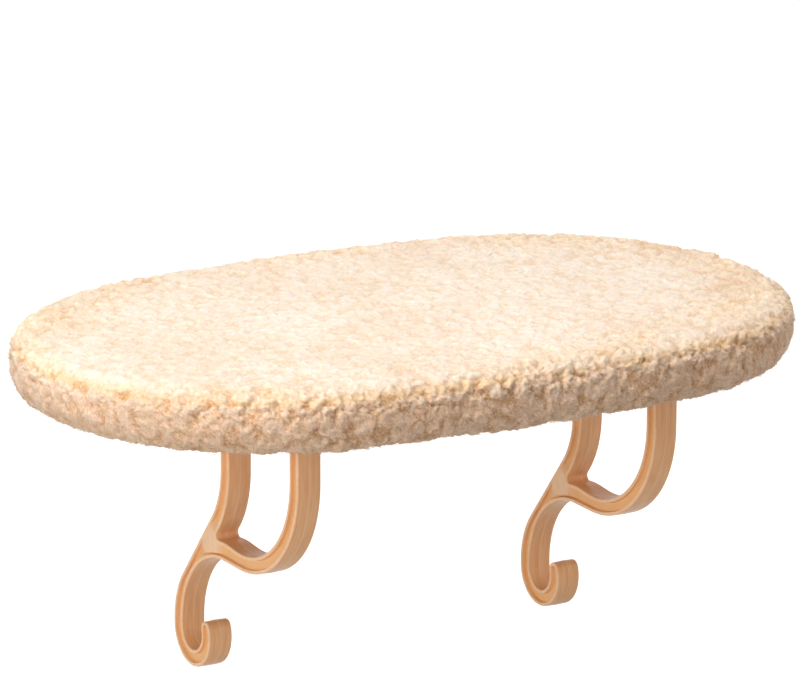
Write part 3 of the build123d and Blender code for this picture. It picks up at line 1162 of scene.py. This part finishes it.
def foam_skin(pitch, count):
    """The foam's closed skin: domed top, rounded edge, straight side and flat underside."""
    section = arc_section(TOP_RADIUS, SIDE_TOP, FOAM_RADIUS, pi / 2, 0, steps=10)
    section = even_steps(section + [(FOAM_INSET, FOAM_BOTTOM)], pitch)
    vertices, faces = sheet_over_pad(section, count, pitch)
    last = (len(section) - 1) * count
    faces.append(tuple(last + k for k in range(count)))
    return vertices, faces


def foam_material():
    """Creamy foam, with painted shade in its open cells."""
    material, tree, shader = finish(
        "open_foam", 0.95, Subsurface_Weight=0.1, Subsurface_Radius=(0.003, 0.002, 0.001))
    place = place_on_piece(tree)
    dull, clean = colour(242, 226, 192), colour(250, 238, 212)
    shade = ramp(grain(place, 45, 4), (0.35, dull), (0.65, clean))
    cells = node(tree, "ShaderNodeTexVoronoi", {"Vector": place, "Scale": 900.0})
    cells = cells.outputs["Distance"]
    # Painted shade: the open cells are darkened.
    pits = ramp(cells, (0.1, (0.72, 0.66, 0.55)), (0.4, WHITE))
    tree.links.new(mixed(1.0, shade, pits, "MULTIPLY"), shader.inputs["Base Color"])
    bump(shader, cells, 0.0006)
    return material


def foam_tree():
    """Presses pits into all of the foam but its underside."""
    tree, sizes = new_tree("foam_pits", pit_width=0.005, pit_depth=0.0009)
    place = node(tree, "GeometryNodeInputPosition").outputs[0]
    normal = node(tree, "GeometryNodeInputNormal").outputs[0]
    cells = node(tree, "ShaderNodeTexVoronoi", {
        "Vector": place, "Scale": over(1.0, sizes["pit_width"])}).outputs["Distance"]
    open_face = math("GREATER_THAN", parts(normal)[2], -0.5)
    press = times(minus(0.8, cells, clamp=True), open_face)
    inwards = times(press, times(sizes["pit_depth"], -1.0))
    offset = vector_math("SCALE", normal, scale=inwards)
    pitted = node(tree, "GeometryNodeSetPosition", {0: sizes["Geometry"], "Offset": offset})
    return tree, dressed(pitted.outputs[0], foam_material())


foam = grown(solid_from("foam_slab", *foam_skin(FOAM_PITCH, FOAM_COUNT)), *foam_tree())
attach(foam, "perch")
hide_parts("foam_pad")
print("foam:", len(foam.data.polygons), "faces")

# %% [markdown]
# ## The backing of the tape
#
# Each strip of tape is a woven band. A bevelled box could stand for it, but only its four upright
# corners are round, so its outline is drawn. Two sets of waves in the material weave it.

# %% Backing of the tape
BACKING, STRIP_SIZE, STRIP_CORNER = 0.0013, (0.300, 0.020), 0.003
CORNER_STEPS = 6


def strip_backing(name, centre_y, low, high):
    """A flat strip with rounded corners, centred on X."""
    half_x, half_y = STRIP_SIZE[0] / 2 - STRIP_CORNER, STRIP_SIZE[1] / 2 - STRIP_CORNER
    outline = []
    for sign_x, sign_y, start in ((1, 1, 0), (-1, 1, pi / 2), (-1, -1, pi), (1, -1, 3 * pi / 2)):
        for k in range(CORNER_STEPS + 1):
            heading = start + pi / 2 * k / CORNER_STEPS
            outline.append((sign_x * half_x + STRIP_CORNER * cos(heading),
                            centre_y + sign_y * half_y + STRIP_CORNER * sin(heading)))
    count = len(outline)
    vertices = [(x, y, z) for z in (low, high) for x, y in outline]
    faces = [tuple(range(count)), tuple(range(count, 2 * count))]
    faces += [(k, (k + 1) % count, count + (k + 1) % count, count + k) for k in range(count)]
    strip = solid_from(name, vertices, faces)
    strip.data.shade_flat()
    return strip


def tape_material(name, dark, pale):
    """Woven tape between two shades."""
    material, tree, shader = finish(name, 0.6, Sheen_Weight=0.15)
    grained(shader, 600, dark, pale)
    place = place_on_piece(tree)
    weave = node(tree, "ShaderNodeTexWave", {"Vector": place, "Scale": 400.0, "Distortion": 0.6})
    cross = node(tree, "ShaderNodeTexWave", {"Vector": place, "Scale": 400.0}, bands_direction="Y")
    woven = times(weave.outputs["Fac"], cross.outputs["Fac"])
    bump(shader, woven, 0.0002)
    return material


hook_finish = tape_material("hook_weave", colour(214, 200, 178), colour(236, 226, 208))
loop_finish = tape_material("loop_weave", colour(226, 214, 196), colour(246, 238, 224))
print("tape materials:", hook_finish.name, loop_finish.name)

# %% [markdown]
# ## Hooks and loops
#
# The hooks are rows of stiff bent filaments that all look much the same way. The loops are soft
# arches that point every way. Both stand on a grid that is slightly out of line, so one tree grows
# both. It takes the bend of a filament and how far it may turn.

# %% Hooks and loops
TAPE_PITCH = 0.024
BOARD_UNDERSIDE = 0.006
HOOK_ROOTS, LOOP_ROOTS = 0.0049, 0.0011
HOOK_BEND = ((0, 0, 0), (0.0001, 0, -0.0028), (0.0011, 0, -0.0009))
LOOP_BEND = ((-0.0007, 0, 0), (0, 0, 0.0032), (0.0007, 0, 0))
HOOK_TURN = 0.35
BARE_ENDS, BARE_EDGES = 0.004, 0.003


def tape_tree(name, centre_y, root_height, bend, turn_range, material):
    """A filament at each point of an uneven grid, joined to the backing."""
    tree, sizes = new_tree(name, filament_pitch=0.002, filament_radius=0.00014, jitter=0.0004)
    length, width = STRIP_SIZE[0] - BARE_ENDS, STRIP_SIZE[1] - BARE_EDGES
    grid = node(tree, "GeometryNodeMeshGrid", {
        "Size X": length, "Size Y": width,
        "Vertices X": over(length, sizes["filament_pitch"]),
        "Vertices Y": over(width, sizes["filament_pitch"])})
    shift = chance(tree, (-1.0, -1.0, 0.0), (1.0, 1.0, 0.0), seed=3)
    shift = vector_math("SCALE", shift, scale=sizes["jitter"])
    offset = vector_math("ADD", shift, (0.0, centre_y, root_height))
    roots = node(tree, "GeometryNodeSetPosition", {0: grid.outputs[0], "Offset": offset})
    path = bent_line(tree, *bend, steps=6)
    filament = faceted(tube(path, 4, sizes["filament_radius"]))
    turned = node(tree, "ShaderNodeCombineXYZ", {2: chance(tree, 0.0, turn_range, seed=5)})
    filaments = planted(roots.outputs[0], filament, turned.outputs[0])
    return tree, dressed(joined(filaments, sizes["Geometry"]), material)


for place_name, centre_y in (("front", 0.0), ("rear", TAPE_PITCH)):
    hooks = strip_backing(
        "hooks_" + place_name, centre_y, BOARD_UNDERSIDE - BACKING, BOARD_UNDERSIDE)
    grown(hooks, *tape_tree(
        "hooks_" + place_name, centre_y, HOOK_ROOTS, HOOK_BEND, HOOK_TURN, hook_finish))
    loops = strip_backing("loops_" + place_name, centre_y, 0.0, BACKING)
    grown(loops, *tape_tree(
        "loops_" + place_name, centre_y, LOOP_ROOTS, LOOP_BEND, FULL_TURN, loop_finish))
    for piece, body, kind in ((hooks, "perch", "hook"), (loops, "sill_strips", "loop")):
        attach(piece, body)
        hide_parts(kind + "_strip_" + place_name)
    print(place_name, "tape:", len(hooks.data.polygons), len(loops.data.polygons), "faces")

# %% [markdown]
# ## Board and screws
#
# The board is fibreboard: smooth pressed faces, and coarser, darker sawn edges. The screws are
# zinc-plated steel with a fine brushed look. Both could be built again here, but the CAD shapes
# are right as they are, so they only get a finish.


# %% Board and screws
def board_material():
    """Fibreboard. A face that looks up or down is pressed, and all others are sawn."""
    material, tree, shader = finish("fibreboard", 0.75)
    upright = absolute(parts(facing_on_piece(tree))[2])
    flat = math("POWER", upright, 6.0)
    fibres = grain(place_on_piece(tree), 520, 6, 0.7)
    face = ramp(fibres, (0.35, colour(184, 146, 104)), (0.65, colour(208, 170, 126)))
    edge = ramp(fibres, (0.35, colour(158, 118, 80)), (0.65, colour(190, 148, 106)))
    tree.links.new(mixed(flat, edge, face), shader.inputs["Base Color"])
    bump(shader, fibres, 0.00015)
    return material


def zinc_material():
    """Bright zinc, duller in patches."""
    material, tree, shader = finish("zinc_steel", 0.3, Metallic=1.0)
    grained(shader, 500, colour(176, 178, 180), colour(214, 214, 208), detail=4)
    dulled = grain(place_on_piece(tree), 1800, 2)
    worn = ramp(dulled, (0.3, grey(0.22)), (0.7, grey(0.4)))
    tree.links.new(worn, shader.inputs["Roughness"])
    return material


finish_nodes(board_material(), "board")
finish_nodes(zinc_material(), "bracket_screws_left", "bracket_screws_right")
